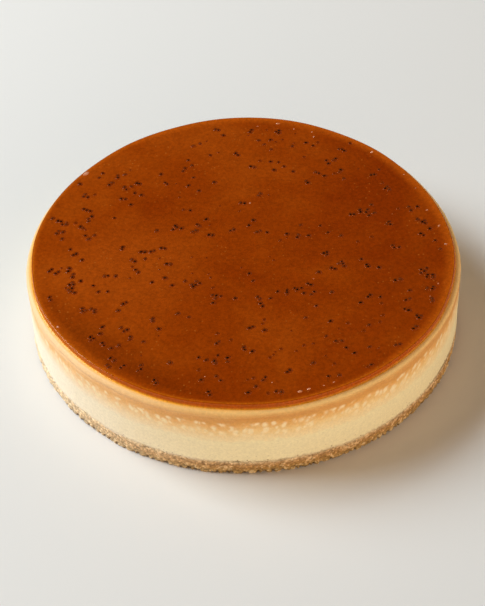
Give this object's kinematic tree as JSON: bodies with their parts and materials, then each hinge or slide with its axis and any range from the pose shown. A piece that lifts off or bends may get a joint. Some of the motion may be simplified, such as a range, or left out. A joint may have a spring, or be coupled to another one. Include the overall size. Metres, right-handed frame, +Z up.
{
  "type": "baked cheesecake",
  "caption": "Whole round baked cheesecake with a pressed crumb base, a cream filling with a browned band, and a glossy caramel glaze with poppy seeds.",
  "frame": {"origin": "centre of the underside, on the surface the cheesecake stands on", "axes": "+Z up through the layers; -Y faces the side the picture is taken from, +X to its right"},
  "size_m": [0.2414, 0.2418, 0.0507],
  "materials": {
    "biscuit_crumb": "matte and rough",
    "baked_cream": "satin",
    "caramel": "glossy",
    "seed": "satin"
  },
  "bodies": {
    "root": {"crumb_base": "biscuit_crumb", "cheese_filling": "baked_cream", "caramel_glaze": "caramel"}
  },
  "joints": []
}
